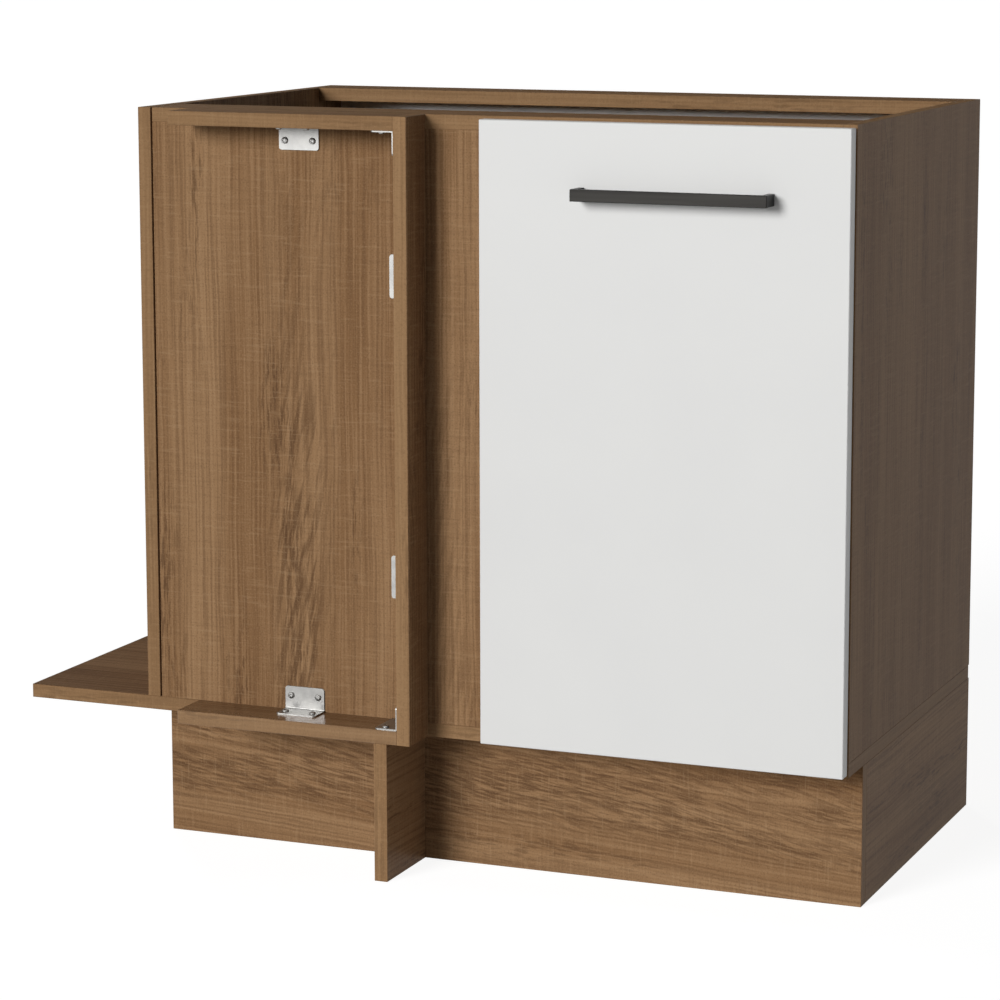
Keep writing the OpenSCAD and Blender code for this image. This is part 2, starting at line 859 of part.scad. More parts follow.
module outer_link() {
    color(zinc) difference() {
        union() {
            layers(cheek_in, cheek_out) {
                bar(cup_outer_pivot, outer_bend, link_w);
                bar(outer_bend, arm_outer_pivot, link_w);
                bar(arm_outer_pivot, bridge_at, ear_w);
                for (at = [cup_outer_pivot, arm_outer_pivot]) translate(at) circle(d = eye_d);
            }
            slab((cheek_in + cheek_out) / 2) translate(bridge_at) circle(d = bridge_d);
        }
        for (at = [cup_outer_pivot, arm_outer_pivot]) pivot_bore(at);
    }
}

// Short rivets on both sides of the inner link
module rivets(at, high) {
    for (side = [0, 1]) mirror([0, 0, side])
        translate([at.x, at.y, cheek_in - layer_gap / 2])
            cylinder(d = pin_d, h = high - cheek_in + layer_gap / 2);
}

module long_pin(at, half) {
    translate([at.x, at.y, -half]) cylinder(d = pin_d, h = 2 * half);
}

module arm_outline() {
    polygon(concat(
        [[arm_outer_pivot.x, arm_outer_pivot.y - arm_tip_d / 2], [arm_inner_pivot.x - 3.5, 4]],
        web_line,
        [[arm_foot_x, arm_end_y], [arm_foot_x, rail_front_y - 10]],
        [[arm_outer_pivot.x + arm_tip_d / 2, 12], [arm_outer_pivot.x + arm_tip_d / 2, arm_outer_pivot.y]]
    ));
    translate(arm_outer_pivot) circle(d = arm_tip_d);
}

module hinge_arm() {
    color(zinc) difference() {
        union() {
            layers(arm_in, arm_half) arm_outline();
            slab(arm_half) for (i = [0 : len(web_line) - 2]) bar(web_line[i], web_line[i + 1], arm_t);
        }
        for (at = [arm_outer_pivot, arm_inner_pivot]) pivot_bore(at);
        hole([web_x - arm_t / 2, arm_screw_y, 0], "-x", arm_screw_d, arm_t + over);
    }
}

module hinge_arm_pins() {
    color(zinc) for (z = hinge_zs) at_hinge(z) {
        rivets(arm_outer_pivot, arm_half);
        long_pin(arm_inner_pivot, arm_half);
        layers(arm_half, arm_half + pin_head_h)
            for (at = [arm_outer_pivot, arm_inner_pivot]) translate(at) circle(d = pin_d + 1.4);
    }
}

module hinge_arm_screws() {
    color(zinc) for (z = hinge_zs) at_hinge(z)
        aim([web_x - arm_t / 2, arm_screw_y, 0], "-x") pan_screw(arm_screw_d, arm_screw_l);
}

module hinge_plate() {
    color(zinc) difference() {
        union() {
            translate([side_face_x, 0, 0]) rotate([0, -90, 0]) linear_extrude(plate_t) {
                translate([-arm_half - 1, rail_front_y - 4])
                    square([arm_w + 2, rail_back_y - rail_front_y + 4]);
                bar([-plate_pitch / 2, plate_y], [plate_pitch / 2, plate_y], wing_w);
            }
            translate([rail_top_x, rail_front_y, -rail_half])
                cube([side_face_x - plate_t / 2 - rail_top_x, rail_back_y - rail_front_y, 2 * rail_half]);
        }
        hole([rail_top_x, arm_screw_y, 0], "-x", arm_screw_d, arm_screw_l);
        for (end = [-1, 1])
            flat_screw_hole(plate_screw_at(end), "-x", screw_d, plate_screw_l, flat_head_d);
    }
}

module hinge_plate_screws() {
    color(zinc) for (z = hinge_zs, end = [-1, 1]) at_hinge(z)
        aim(plate_screw_at(end), "-x") flat_screw(screw_d, plate_screw_l, flat_head_d);
}

module cup_screw_holes() {
    for (end = [-1, 1])
        flat_screw_hole(cup_screw_at(end), "+y", screw_d, cup_screw_l, flat_head_d);
}

module hinge_cup() {
    color(zinc) difference() {
        rotate([-90, 0, 0]) {
            translate([0, 0, -cup_deep]) cylinder(d = cup_d, h = cup_deep + flange_t);
            linear_extrude(flange_t) {
                circle(d = cup_d + 2 * cup_rim);
                bar([cup_screw_x, -cup_pitch / 2], [cup_screw_x, cup_pitch / 2], wing_w);
            }
        }
        intersection() {
            translate([0, cup_wall - cup_deep, 0]) rotate([-90, 0, 0])
                cylinder(d = cup_d - 2 * cup_wall, h = cup_deep + flange_t);
            translate([-cup_d, -cup_deep, -arm_in]) cube([2 * cup_d, 2 * cup_deep, 2 * arm_in]);
        }
        for (at = [cup_outer_pivot, cup_inner_pivot])
            translate([at.x, at.y, -cup_pin_half]) cylinder(d = pin_d + 2 * fit, h = 2 * cup_pin_half);
        cup_screw_holes();
    }
}

module hinge_cup_pins() {
    color(zinc) for (z = hinge_zs) at_hinge(z) {
        rivets(cup_outer_pivot, cup_pin_half);
        long_pin(cup_inner_pivot, cup_pin_half);
    }
}

module hinge_cup_screws() {
    color(zinc) for (z = hinge_zs, end = [-1, 1]) at_hinge(z)
        aim(cup_screw_at(end), "+y") flat_screw(screw_d, cup_screw_l, flat_head_d);
}

module hinge_plate_lower() { at_hinge(hinge_zs[0]) hinge_plate(); }
module hinge_plate_upper() { at_hinge(hinge_zs[1]) hinge_plate(); }
module hinge_arm_lower() { at_hinge(hinge_zs[0]) hinge_arm(); }
module hinge_arm_upper() { at_hinge(hinge_zs[1]) hinge_arm(); }
module outer_link_lower() { at_hinge(hinge_zs[0]) outer_link(); }
module outer_link_upper() { at_hinge(hinge_zs[1]) outer_link(); }
module inner_link_lower() { at_hinge(hinge_zs[0]) inner_link(); }
module inner_link_upper() { at_hinge(hinge_zs[1]) inner_link(); }
module hinge_cup_lower() { at_hinge(hinge_zs[0]) hinge_cup(); }
module hinge_cup_upper() { at_hinge(hinge_zs[1]) hinge_cup(); }

placed() {
    bottom_board();
    left_side();
    right_side();
    front_rail();
    back_rail();
    blind_front();
    back_panel();
    back_nails();
    shelf();
    shelf_pins();
    spacer_top();
    spacer_bottom();
    spacer_side();
    plinth_front();
    plinth_return();
    plinth_left();
    plinth_right();
    plinth_back();
    bracket_top();
    bracket_bottom();
    bracket_side_upper();
    bracket_side_lower();
    bracket_corner_top();
    bracket_corner_bottom();
    bracket_screws();
    plinth_brackets();
    plinth_bracket_screws();
    base_screws();
    cam_housings();
    cam_bolts();
    dowels();
    door_panel();
    handle();
    handle_screws();
    door_bumpers();
    hinge_plate_lower();
    hinge_plate_upper();
    hinge_plate_screws();
    hinge_arm_lower();
    hinge_arm_upper();
    hinge_arm_screws();
    hinge_arm_pins();
    outer_link_lower();
    outer_link_upper();
    inner_link_lower();
    inner_link_upper();
    hinge_cup_lower();
    hinge_cup_upper();
    hinge_cup_pins();
    hinge_cup_screws();
}
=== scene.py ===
# %% [markdown]
# # A corner base cabinet
#
# A corner base cabinet stands where two kitchen runs meet. Its left half has no door of its
# own: a blind panel closes it, and three short boards screwed to that panel's front keep the
# neighbouring run off, so that its doors can open. The right half has a white door on two
# concealed hinges. The boards are laminated with a dark, rustic oak grain.
#
# The shapes come finished from the CAD model. This lesson dresses them: it sets the camera and
# the light, then gives every board, hinge and screw the finish of the real one.

# %% Load the cabinet
from math import pi, radians

import bpy
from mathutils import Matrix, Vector

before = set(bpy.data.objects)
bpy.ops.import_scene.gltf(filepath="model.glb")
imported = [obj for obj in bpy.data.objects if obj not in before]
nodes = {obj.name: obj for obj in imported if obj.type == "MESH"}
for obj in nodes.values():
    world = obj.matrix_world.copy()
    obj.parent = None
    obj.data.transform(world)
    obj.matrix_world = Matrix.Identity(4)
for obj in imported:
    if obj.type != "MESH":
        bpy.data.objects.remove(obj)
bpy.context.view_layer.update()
scene = bpy.context.scene
scene.view_settings.view_transform = "Standard"

# %% [markdown]
# ## The camera
#
# A catalogue picture of a cabinet is taken from well back with a long lens, so that upright
# edges stay nearly upright. The camera stands a little to the right of the cabinet at about
# 1 m height, and looks down by a few degrees. A small shift of the lens puts the cabinet in the
# frame without turning the camera further. A level camera with a large shift would keep the
# uprights quite parallel, but the cabinet would then leave the frame when seen from elsewhere.

# %% Stand the camera
LOOK_DOWN = 8.68
LOOK_LEFT = 21.85

lens = bpy.data.cameras.new("camera")
lens.sensor_width = 36
lens.lens = 119.4
lens.shift_x = -0.0404
lens.shift_y = -0.085
lens.clip_end = 500
camera = bpy.data.objects.new("camera", lens)
camera.location = (1.3974, -3.3580, 1.0197)
camera.rotation_euler = (radians(90 - LOOK_DOWN), 0, radians(LOOK_LEFT))
scene.collection.objects.link(camera)
scene.camera = camera
print("camera at", [round(v, 2) for v in camera.location])


# %% [markdown]
# ## Writing a finish as sums
#
# A procedural finish is a net of nodes, which is hard to read as a picture. The class below
# wraps one output of a node, so that `0.9 + 0.2 * fibre` builds the two Math nodes it needs.
# Every other node comes from the one call `node`: its kind, its settings, then the numbers or
# wires of its sockets.

# %% A wire that can be reckoned with
class Wire:
    """One output in a node tree. Arithmetic on it adds Math nodes."""

    def __init__(self, net, socket):
        self.net = net
        self.socket = socket

    def math(self, operation, *values):
        return self.net.node("ShaderNodeMath", {"operation": operation}, dict(enumerate(values)))

    def __add__(self, other):
        return self.math("ADD", self, other)

    def __sub__(self, other):
        return self.math("SUBTRACT", self, other)

    def __rsub__(self, other):
        return self.math("SUBTRACT", other, self)

    def __mul__(self, other):
        return self.math("MULTIPLY", self, other)

    def __gt__(self, other):
        return self.math("GREATER_THAN", self, other)

    def __abs__(self):
        return self.math("ABSOLUTE", self, 0)

    __radd__ = __add__
    __rmul__ = __mul__


# %% A net of nodes
class Net:
    """The nodes of one material or of the world."""

    def __init__(self, tree):
        self.tree = tree
        tree.nodes.clear()

    def node(self, kind, settings=None, sockets=None, out=0):
        made = self.tree.nodes.new(kind)
        for name, value in (settings or {}).items():
            if name == "stops":
                self.set_stops(made.color_ramp.elements, value)
            else:
                setattr(made, name, value)
        for key, value in (sockets or {}).items():
            if isinstance(value, Wire):
                self.tree.links.new(value.socket, made.inputs[key])
            else:
                made.inputs[key].default_value = value
        return Wire(self, made.outputs[out]) if made.outputs else made

    def set_stops(self, elements, stops):
        while len(elements) < len(stops):
            elements.new(1)
        for element, (place, colour) in zip(elements, stops):
            element.position = place
            element.color = colour

    def place(self):
        """A point of the surface, in the piece's own axes."""
        return self.node("ShaderNodeTexCoord", out="Object")

    def facing(self):
        """The way the surface looks, in the piece's own axes."""
        return self.node("ShaderNodeTexCoord", out="Normal")

    def split(self, place):
        apart = self.node("ShaderNodeSeparateXYZ", None, {0: place})
        return [Wire(self, socket) for socket in apart.socket.node.outputs]

    def join(self, x, y, z):
        return self.node("ShaderNodeCombineXYZ", None, {0: x, 1: y, 2: z})

    def stretch(self, place, factors, shift=(0, 0, 0)):
        """Scale a place by another factor along each axis, and move it."""
        sockets = {0: place, 1: factors, 2: shift}
        return self.node("ShaderNodeVectorMath", {"operation": "MULTIPLY_ADD"}, sockets)

    def noise(self, place, scale=1, detail=2, roughness=0.5):
        sockets = {"Vector": place, "Scale": scale, "Detail": detail, "Roughness": roughness}
        return self.node("ShaderNodeTexNoise", None, sockets)

    def step(self, value, low, high):
        """0 at low, 1 at high, smooth between."""
        ends = {"Value": value, "From Min": low, "From Max": high}
        return self.node("ShaderNodeMapRange", {"interpolation_type": "SMOOTHSTEP"}, ends)

    def mix(self, factor, first, second, how="MIX"):
        """Blend two colours."""
        settings = {"data_type": "RGBA", "blend_type": how, "clamp_factor": True}
        return self.node("ShaderNodeMix", settings, {0: factor, 6: first, 7: second}, 2)

    def bump(self, height, strength, depth):
        sockets = {"Height": height, "Strength": strength, "Distance": depth}
        return self.node("ShaderNodeBump", None, sockets)


# %% [markdown]
# ## The floor
#
# The picture has a bright, plain surround. A curved paper backdrop would give it too, but its
# bend would show once the cabinet is turned round, so a wide flat floor meets a white world
# here. The floor is white to the camera and to mirrors, and keeps a faint shadow, because part
# of its white is real reflected light. To the light that falls on the cabinet it is a grey floor
# with a little glow of its own: the light that a wide studio floor gives back, which lifts the
# shadows under the boards. The Light Path node tells these kinds of ray apart, so that one floor
# can be both.

# %% Tell the rays apart
def seen_rays(net):
    """1 for rays from the camera, a mirror or glass, 0 for light that falls on the object."""
    kinds = ("Camera", "Glossy", "Transmission")
    return sum(net.node("ShaderNodeLightPath", out=f"Is {kind} Ray") for kind in kinds) > 0.5


# %% Lay the floor
FLOOR_REACH = 120

corners = [(x * FLOOR_REACH, y * FLOOR_REACH, 0) for x, y in ((-1, -1), (1, -1), (1, 1), (-1, 1))]
floor_mesh = bpy.data.meshes.new("floor")
floor_mesh.from_pydata(corners, [], [(0, 1, 2, 3)])
floor = bpy.data.objects.new("floor", floor_mesh)
scene.collection.objects.link(floor)
print("floor", 2 * FLOOR_REACH, "m wide")


# %% Paint the floor
def new_finish(name):
    """A new material, and the net to fill with its nodes."""
    material = bpy.data.materials.new(name)
    material.use_nodes = True
    return material, Net(material.node_tree)


def glowing(net, grey, glow):
    """A dull grey with a white glow added to it."""
    dull = net.node("ShaderNodeBsdfDiffuse", None, {"Color": (grey, grey, grey, 1)})
    light = net.node("ShaderNodeEmission", None, {"Color": (1, 1, 1, 1), "Strength": glow})
    return net.node("ShaderNodeAddShader", None, {0: dull, 1: light})


floor_paint, net = new_finish("white_floor")
seen = glowing(net, grey=0.28, glow=0.9)
unseen = glowing(net, grey=0.42, glow=0.2)
surface = net.node("ShaderNodeMixShader", None, {0: seen_rays(net), 1: unseen, 2: seen})
net.node("ShaderNodeOutputMaterial", None, {"Surface": surface})
floor_mesh.materials.append(floor_paint)
print("floor paint:", floor_paint.name)

# %% [markdown]
# ## The light
#
# The light is set so that a front face receives a level of about 1: a colour then renders about
# as it is written. A studio would hang one large softbox at the front left. A sun lamp does the
# same with two numbers: its direction places the shadows, and its angle softens their edges as
# the width of the softbox would. The surround adds a little from everywhere.
#
# A weaker light stands low behind the left corner, so that the back can be seen when the
# cabinet is turned round. It keeps off the line straight behind, where the tops of the boards
# would mirror it into the camera.

# %% Light the surround
AMBIENT = 0.09

world = bpy.data.worlds.new("surround")
world.use_nodes = True
scene.world = world
net = Net(world.node_tree)
level = AMBIENT + (1 - AMBIENT) * seen_rays(net)
sky = net.node("ShaderNodeBackground", None, {"Color": (1, 1, 1, 1), "Strength": level})
net.node("ShaderNodeOutputWorld", None, {"Surface": sky})
print("surround at", AMBIENT)


# %% Hang the lamps
def hang_sun(name, strength, width, towards):
    """A sun with a strength of 1 lights a face that looks straight at it to a level of 1. Its
    width is an angle in degrees."""
    light = bpy.data.lights.new(name, "SUN")
    light.energy = strength * pi
    light.angle = radians(width)
    lamp = bpy.data.objects.new(name, light)
    lamp.rotation_euler = Vector(towards).to_track_quat("Z", "Y").to_euler()
    scene.collection.objects.link(lamp)
    print(name, "stands towards", towards)


hang_sun("broad_light", strength=0.9, width=24, towards=(-0.345, -0.9, 0.285))
hang_sun("fill_light", strength=0.6, width=10, towards=(-0.6, 0.8, 0.08))

# %% [markdown]
# ## Rustic oak laminate
#
# The boards are chipboard with a printed oak film, and their visible edges carry a band of the
# same film. The print shows sawn planks: broad zones of lighter and darker wood, thin fibres,
# crowds of short dark dashes, and the faint cross marks of a band saw. Down the heart of a
# plank the saw cut the rings at a slant, and there darker streaks lean away from the grain like
# flames. A picture of oak laid on the boards would repeat from board to board. Here every layer
# is a noise stretched along the grain, so one finish serves all the boards once it knows which
# way the grain runs, and each board still gets a plank of its own.
#
# On an end face the band's grain runs along the edge, so the finish turns there.

# %% Lay the grain along a board
AXES = "XYZ"


def lay_grain(place, facing, grain, across):
    """The place along the grain, across it and through the board, and how squarely the face
    looks through the board. The first two change places on the board's end faces."""
    g, a = AXES.index(grain), AXES.index(across)
    t = 3 - g - a
    end = abs(facing[g]) > 0.5
    along = place[g] + end * (place[a] - place[g])
    side = place[a] + end * (place[g] - place[a])
    return along, side, place[t], abs(facing[t])


# %% [markdown]
# The numbers of a stretch say how many patches of a noise fit in a metre along the grain,
# across it and through the board. Wavering is slow along the grain, so it takes 4.2 and 11, and
# fibres are long and thin, so they take 5 and 400. The saw runs across the grain, so its marks
# take 420 and 30.
#
# A tree's rings are never straight. The grain of a plank therefore wavers slowly, most of all
# in its hearts, and each board starts at another spot of the noises, as if cut from another
# part of the trunk.

# %% The grain of one plank
HEART_FADE = 0.65


def starting_spot(seed):
    """Where in the noises a board begins."""
    return (seed * 1.7, seed * 2.3, seed * 3.1)


def bend_grain(net, point, seed, hearts, fade, slant, lean):
    """hearts gives the strength of each flamed heart at its place across the board, and fade
    the places along the board between which they weaken. slant turns the whole grain, and lean
    the streaks alone."""
    along, side, through = point
    flat = net.join(*point)
    slow = net.noise(net.stretch(flat, (4.2, 11, 11), starting_spot(seed))) - 0.5
    quick = net.noise(net.stretch(flat, (24, 60, 60), starting_spot(seed))) - 0.5

    heart = 0
    for middle, strength in hearts.items():
        near = 1 - net.step(abs(side - middle + 0.06 * slow), 0.008, 0.045)
        heart = strength * near + heart
    heart = heart * (1 - HEART_FADE * net.step(along, *fade))

    sway = (0.007 + 0.012 * heart) * slow + 0.0022 * quick
    ring = side + through + slant * along + sway
    straight = net.join(along, ring, seed * 1.3)
    leaning = net.join(along, ring + lean * along, seed * 1.9)
    return flat, straight, leaning, heart


# %% The layers of the print
def print_layers(net, flat, straight, leaning, heart, seed, stroke):
    """The dashes crowd in patches, and the streaks keep to the hearts. stroke is the stretch of
    the streaks."""
    dashes = net.noise(net.stretch(straight, (42, 340, 1)), roughness=0.55)
    strokes = net.noise(net.stretch(leaning, (*stroke, 1)), roughness=0.6)
    patches = net.noise(net.stretch(straight, (3.4, 26, 1)))
    crowd = net.step(patches + 0.12 * heart, 0.52, 0.7)
    return {
        "zones": net.noise(net.stretch(straight, (0.9, 24, 1))),
        "fibres": net.noise(net.stretch(straight, (5, 400, 1)), detail=1),
        "dashes": net.step(dashes, 0.46, 0.64) * (0.06 + 0.94 * crowd),
        "streaks": net.step(strokes, 0.44, 0.6) * heart * net.step(patches, 0.24, 0.48),
        "weave": net.noise(net.stretch(flat, (600, 520, 520), starting_spot(seed)), detail=1),
        "saw": net.noise(net.stretch(flat, (420, 30, 30), starting_spot(seed))),
    }


# %% [markdown]
# Colours are easiest to judge on a screen, where they run from 0 to 255, but a shader works in
# linear light. Every colour below is written as the screen shows it, and this helper turns it
# into linear light, so that no node has to.

# %% Colours as the eye reads them
def rgb(red, green, blue):
    """A colour given in screen values from 0 to 255, as the linear light a shader works in."""
    def linear(value):
        value = value / 255
        return value / 12.92 if value <= 0.04045 else ((value + 0.055) / 1.055) ** 2.4
    return (linear(red), linear(green), linear(blue), 1)


print("a mid grey of 128 is", round(rgb(128, 128, 128)[0], 3), "in linear light")


# %% [markdown]
# The edges that stand against the wall have no band. There the chipboard's core shows: pressed
# chips of pale and brown wood, a few millimetres long, with dark gaps between them. A Voronoi
# noise gives every cell one flat colour, which is just what a chip has.

# %% Chipboard core
def chipboard(net, place):
    sockets = {"Vector": net.stretch(place, (280, 620, 620)), "Scale": 1}
    chips = net.node("ShaderNodeTexVoronoi", {"feature": "F1"}, sockets, out="Color")
    shade = net.split(chips)[0]
    stops = [
        (0.0, rgb(126, 98, 66)), (0.35, rgb(176, 142, 98)),
        (0.7, rgb(200, 168, 122)), (1.0, rgb(214, 186, 144)),
    ]
    return net.node("ShaderNodeValToRGB", {"stops": stops}, {0: shade})


# %% [markdown]
# The layers go on in turn, each with its own ink and strength, as coats of ink go on the film.
# The film is dull, but seen at a grazing angle it mirrors the bright surround, and that makes
# the sides of the cabinet greyer than its front. Only the faces that look left or right are
# seen like that, so a thin coat lies on those alone.

# %% The inks of the print
OAK = {
    "dark ground": rgb(125, 94, 65),
    "light ground": rgb(142, 111, 80),
    "dark fibre": rgb(92, 66, 46),
    "light fibre": rgb(158, 127, 95),
    "dash": rgb(76, 53, 37),
    "streak": rgb(82, 58, 40),
    "light weave": rgb(160, 130, 98),
    "dark weave": rgb(86, 62, 43),
    "light saw mark": rgb(166, 138, 106),
    "dark saw mark": rgb(92, 68, 48),
    "edge band": rgb(148, 118, 85),
}
print("inks:", len(OAK))


# %% Lay the inks one over another
def ink_colour(net, layer, flame, banded):
    """flame is the strength of dashes and streaks, and banded is 1 on the edge band."""
    coats = {
        "dark fibre": net.step(layer["fibres"], 0.52, 0.3) * 0.4,
        "light fibre": net.step(layer["fibres"], 0.5, 0.7) * 0.36,
        "dash": layer["dashes"] * flame,
        "streak": layer["streaks"] * flame,
        "light weave": net.step(layer["weave"], 0.54, 0.78) * 0.3,
        "dark weave": net.step(layer["weave"], 0.46, 0.26) * 0.36,
        "light saw mark": net.step(layer["saw"], 0.56, 0.72) * 0.18,
        "dark saw mark": net.step(layer["saw"], 0.46, 0.3) * 0.14,
        "edge band": banded * 0.38,
    }
    ground = net.step(layer["zones"], 0.34, 0.66)
    colour = net.mix(ground, OAK["dark ground"], OAK["light ground"])
    for ink, strength in coats.items():
        colour = net.mix(strength, colour, OAK[ink])
    return colour


# %% Close a finish
def end_finish(net, **sockets):
    """Close a net with the principled shader and the material's output."""
    named = {name.replace("_", " "): value for name, value in sockets.items()}
    shader = net.node("ShaderNodeBsdfPrincipled", None, named)
    net.node("ShaderNodeOutputMaterial", None, {"Surface": shader})


# %% Oak for one board
SIDE_SHEEN = 0.22
NO_FADE = (2, 3)  # metres, beyond every board


def oak(name, grain, across, seed, hearts, fade=NO_FADE, slant=0.0, lean=0.12, stroke=(15, 165),
        flame=0.62, tone_and_painted_light=1.0, gloss=0.0003, rough=0.5, raw=False):
    """tone_and_painted_light multiplies the board's colour. It is partly the board's own tone and
    partly painted light: it brightens boards whose faces these lamps leave darker than they
    should look. gloss is how strongly its film mirrors, and raw leaves its back edge without a
    band. The rest is as in the helpers above."""
    material, net = new_finish(name)
    facing = net.split(net.facing())
    *point, squarely = lay_grain(net.split(net.place()), facing, grain, across)
    flat, straight, leaning, heart = bend_grain(net, point, seed, hearts, fade, slant, lean)
    layer = print_layers(net, flat, straight, leaning, heart, seed, stroke)

    colour = ink_colour(net, layer, flame, banded=1 - (squarely > 0.5))
    # Painted light, in part: the tone factor brightens the whole board's colour where the lamps
    # light its faces too little.
    colour = net.mix(1, colour, (tone_and_painted_light, tone_and_painted_light, tone_and_painted_light, 1), "MULTIPLY")
    if raw:
        colour = net.mix(facing[1] > 0.5, colour, chipboard(net, flat))

    marks = 0.5 * layer["dashes"] + 0.4 * layer["streaks"]
    height = 0.5 * layer["fibres"] + 0.3 * layer["weave"] + 0.15 * layer["saw"] - marks
    end_finish(
        net,
        Base_Color=colour,
        Roughness=rough + 0.08 * layer["weave"] + 0.06 * layer["dashes"],
        Specular_IOR_Level=gloss,
        Coat_Weight=SIDE_SHEEN * (abs(facing[0]) > 0.5),
        Coat_Roughness=0.35,
        Normal=net.bump(height, strength=0.2, depth=0.0002),
    )
    return material


# %% [markdown]
# Each board has its own direction of grain, its own seed, and hearts where the real planks show
# them. On the blind front they fade above half its height. The spacer's bottom board is the
# only one seen with a lamp's sheen on it, so its film is glossier than the rest.

# %% Give each board its own plank
def dress(name, material):
    """Put one finish in all the slots of a node."""
    mesh = nodes[name].data
    if not mesh.materials:
        mesh.materials.append(material)
    for index in range(len(mesh.materials)):
        mesh.materials[index] = material


# The tone on some boards is partly their own lighter print and partly painted light, which
# brightens faces that the lamps light too little.
boards = {
    "bottom_board": dict(grain="X", across="Y", hearts={0.05: 1}, raw=True),
    "left_side": dict(grain="Z", across="Y", hearts={0.1: 1}, raw=True),
    "right_side": dict(grain="Z", across="Y", hearts={-0.3: 1}, tone_and_painted_light=1.03, raw=True),
    "front_rail": dict(grain="X", across="Y", hearts={-0.1: 1}),
    "back_rail": dict(grain="X", across="Y", hearts={0.5: 1}, raw=True),
    "blind_front": dict(
        grain="Z", across="X", seed=21, hearts={-0.135: 1, 0.03: 0.5}, fade=(0.42, 0.64),
        lean=-0.17, tone_and_painted_light=1.05
    ),
    "shelf": dict(grain="X", across="Y", hearts={-0.05: 1}, raw=True),
    "spacer_top": dict(grain="X", across="Y", hearts={-0.4: 1}),
    "spacer_bottom": dict(grain="X", across="Y", hearts={-0.1: 1}, gloss=0.14, rough=0.2),
    "spacer_side": dict(grain="Z", across="Y", hearts={-0.4: 1}, tone_and_painted_light=1.05),
    "plinth_front": dict(
        grain="X", across="Z", hearts={0.11: 1, 0.065: 1}, slant=0.06, lean=0.16,
        stroke=(24, 290), flame=0.46, tone_and_painted_light=1.05
    ),
    "plinth_return": dict(grain="Y", across="Z", hearts={-0.05: 1}, tone_and_painted_light=1.1),
    "plinth_left": dict(grain="Y", across="Z", hearts={0.1: 1}),
    "plinth_right": dict(grain="Y", across="Z", hearts={-0.05: 1}, tone_and_painted_light=1.08),
    "plinth_back": dict(grain="X", across="Z", hearts={0.0: 1}),
}
for seed, (name, board) in enumerate(boards.items(), 1):
    dress(name, oak("oak_" + name, **{"seed": seed, **board}))
print("oak boards:", len(boards))

# %% [markdown]
# ## White door
#
# The door is a board with a white film drawn over its softened edges. It has a satin sheen and
# the very fine orange peel of a pressed film, which only shows where light grazes it. A plain
# white would look like plastic, so a slow, faint cloud runs through its colour and its sheen.

# %% White film
white_film, net = new_finish("white_film")
peel = net.noise(net.place(), scale=900, detail=3, roughness=0.55)
cloud = net.noise(net.place(), scale=9)
end_finish(
    net,
    Base_Color=net.mix(cloud, rgb(212, 212, 211), rgb(216, 216, 214)),
    Roughness=0.36 + 0.06 * cloud + 0.03 * peel,
    Specular_IOR_Level=0.4,
    Normal=net.bump(peel, strength=0.08, depth=0.00005),
)
dress("door_panel", white_film)
print("door finish:", white_film.name)

# %% [markdown]
# ## Back sheet
#
# The back is a 3 mm fibreboard: white on the side that shows in the cabinet, and plain brown,
# matted fibre on the side that stands against the wall. The finish tells the two sides apart by
# the way that they look, so the sheet needs no second material.

# %% Thin fibreboard
fibreboard, net = new_finish("fibreboard")
matted = net.noise(net.stretch(net.place(), (260, 260, 700)), detail=5, roughness=0.7)
blotch = net.noise(net.place(), scale=14, detail=3, roughness=0.6)
brown = net.mix(net.step(matted, 0.3, 0.72), rgb(104, 74, 48), rgb(158, 120, 82))
brown = net.mix(net.step(blotch, 0.4, 0.7) * 0.35, brown, rgb(122, 88, 58))
inside = net.split(net.facing())[1] * -1 > 0.5
end_finish(
    net,
    Base_Color=net.mix(inside, brown, rgb(242, 242, 240)),
    Roughness=0.8 - 0.3 * inside,
    Specular_IOR_Level=0.2,
    Normal=net.bump(matted * (1 - 0.9 * inside), strength=0.3, depth=0.0002),
)
dress("back_panel", fibreboard)
print("back finish:", fibreboard.name)


# %% [markdown]
# ## Metals
#
# The brackets and screws are zinc plated: pale, slightly mottled steel. The cams are cast zinc,
# with a coarser skin. The hinges are nickel plated, smoother and a little warmer, and turn on
# pins of plain steel. The handle is a flat bar with a dark graphite coat, brushed along its
# length. Each could have a net of its own, but they differ only in numbers, so one recipe
# serves them all. A metal takes its look from what it mirrors, so the finish is mostly a
# roughness that varies at the right scale.

# %% Metals from one recipe
def metal(name, low, high, rough, spread, grain=(60, 60, 60), fine=(700, 700, 700), bump=0.1):
    """low and high are the colours of the coat's patches, and spread is how far its roughness
    strays. grain is the stretch of the patches, and fine that of the grit on them."""
    material, net = new_finish(name)
    patches = net.noise(net.stretch(net.place(), grain), detail=4, roughness=0.6)
    grit = net.noise(net.stretch(net.place(), fine), detail=3, roughness=0.55)
    colour = net.mix(net.step(patches, 0.32, 0.7), rgb(*low), rgb(*high))
    colour = net.mix(net.step(grit, 0.5, 0.8) * 0.25, colour, rgb(*low))
    end_finish(
        net,
        Base_Color=colour,
        Metallic=1,
        Roughness=rough + spread * (patches - 0.5) + 0.5 * spread * (grit - 0.5),
        Normal=net.bump(grit, strength=bump, depth=0.00005),
    )
    return material


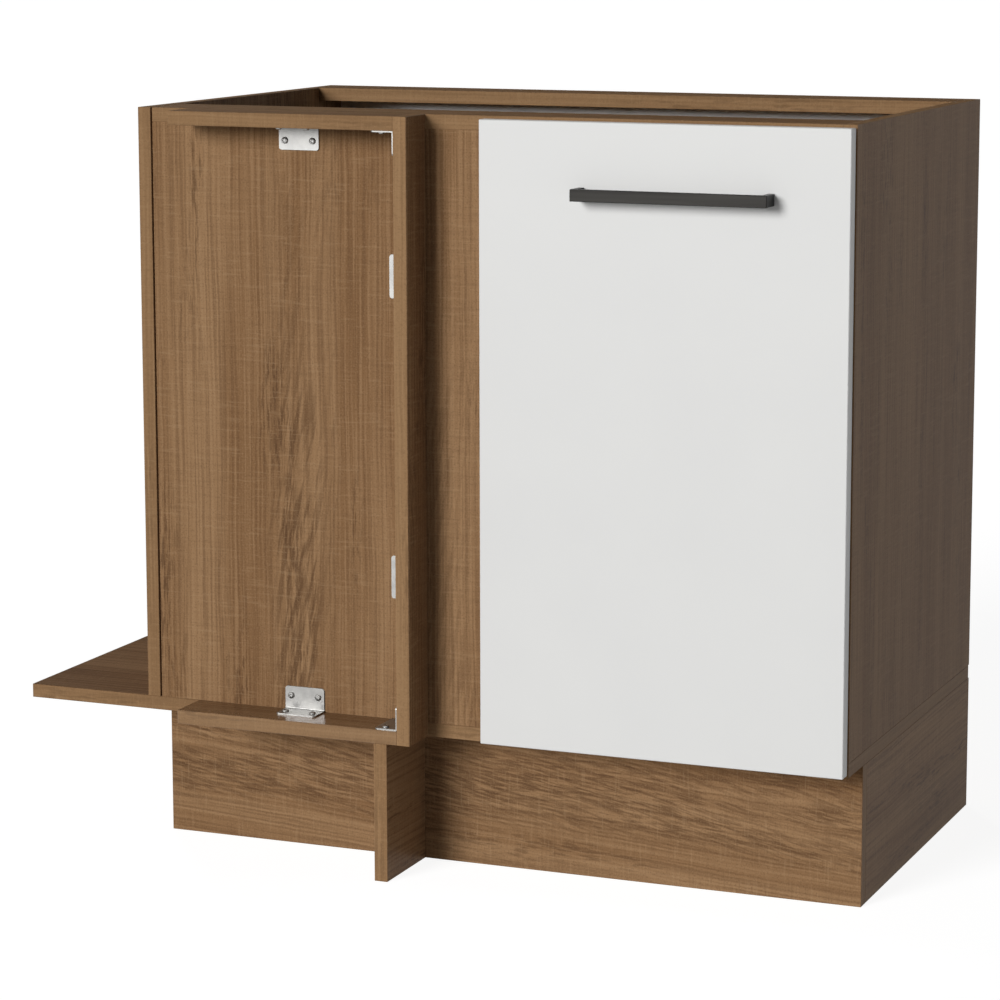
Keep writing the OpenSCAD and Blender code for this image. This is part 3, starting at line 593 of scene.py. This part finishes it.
# %% Zinc, nickel, steel and graphite
metal_looks = {
    "zinc_plate": dict(low=(142, 141, 139), high=(155, 154, 151), rough=0.42, spread=0.18),
    "zinc_screws": dict(
        low=(138, 137, 135), high=(166, 165, 162), rough=0.34, spread=0.2, grain=(300, 300, 300)
    ),
    "cast_zinc": dict(
        low=(138, 138, 136), high=(170, 170, 167), rough=0.42, spread=0.2, bump=0.2
    ),
    "nickel_plate": dict(
        low=(184, 181, 174), high=(206, 203, 196), rough=0.2, spread=0.12, bump=0.04
    ),
    "pin_steel": dict(
        low=(142, 140, 136), high=(176, 174, 169), rough=0.24, spread=0.12, grain=(200, 200, 200)
    ),
    "graphite_coat": dict(
        low=(38, 37, 36), high=(47, 46, 44), rough=0.42, spread=0.14,
        grain=(4, 160, 160), fine=(22, 2200, 2200), bump=0.12
    ),
}
metals = {name: metal(name, **look) for name, look in metal_looks.items()}
print("metals:", ", ".join(metals))

# %% Plate the fittings
HINGE_PARTS = ("hinge_plate", "hinge_arm", "hinge_cup", "outer_link", "inner_link")

for name in nodes:
    if name.endswith("screws") or name in ("back_nails", "cam_bolts"):
        dress(name, metals["zinc_screws"])
    elif name.endswith("_pins"):
        dress(name, metals["pin_steel"])
    elif name.startswith(HINGE_PARTS):
        dress(name, metals["nickel_plate"])
    elif name.startswith("bracket_") or name == "plinth_brackets":
        dress(name, metals["zinc_plate"])
dress("cam_housings", metals["cast_zinc"])
dress("handle", metals["graphite_coat"])
print("hinge parts:", sum(name.startswith(HINGE_PARTS) for name in nodes))

# %% [markdown]
# ## Small fittings
#
# The dowels are beech, a pale wood with short darker flecks: the same stretched noises as the
# oak's, in other numbers. The pads in the door's corners are clear soft plastic on white film.
# A see-through shader would cost many light paths for two small dots, so they are a milky
# white that takes a little light into itself.

# %% Beech dowels
beech, net = new_finish("beech")
rings = net.noise(net.stretch(net.place(), (12, 260, 260)), detail=3, roughness=0.6)
flecks = net.step(net.noise(net.stretch(net.place(), (180, 1500, 1500))), 0.58, 0.7)
colour = net.mix(rings, rgb(196, 158, 112), rgb(218, 184, 138))
end_finish(
    net,
    Base_Color=net.mix(flecks * 0.6, colour, rgb(160, 118, 78)),
    Roughness=0.6 + 0.15 * rings,
    Specular_IOR_Level=0.3,
    Normal=net.bump(rings, strength=0.2, depth=0.0001),
)
dress("dowels", beech)
print("dowel finish:", beech.name)

# %% Clear pads
clear_pad, net = new_finish("clear_pad")
haze = net.noise(net.place(), scale=1200, detail=3, roughness=0.6)
end_finish(
    net,
    Base_Color=net.mix(haze, rgb(206, 208, 206), rgb(224, 225, 222)),
    Roughness=0.2 + 0.15 * haze,
    Subsurface_Weight=0.2,
    Subsurface_Radius=(0.002, 0.002, 0.002),
    Normal=net.bump(haze, strength=0.1, depth=0.00005),
)
dress("door_bumpers", clear_pad)
print("pad finish:", clear_pad.name)
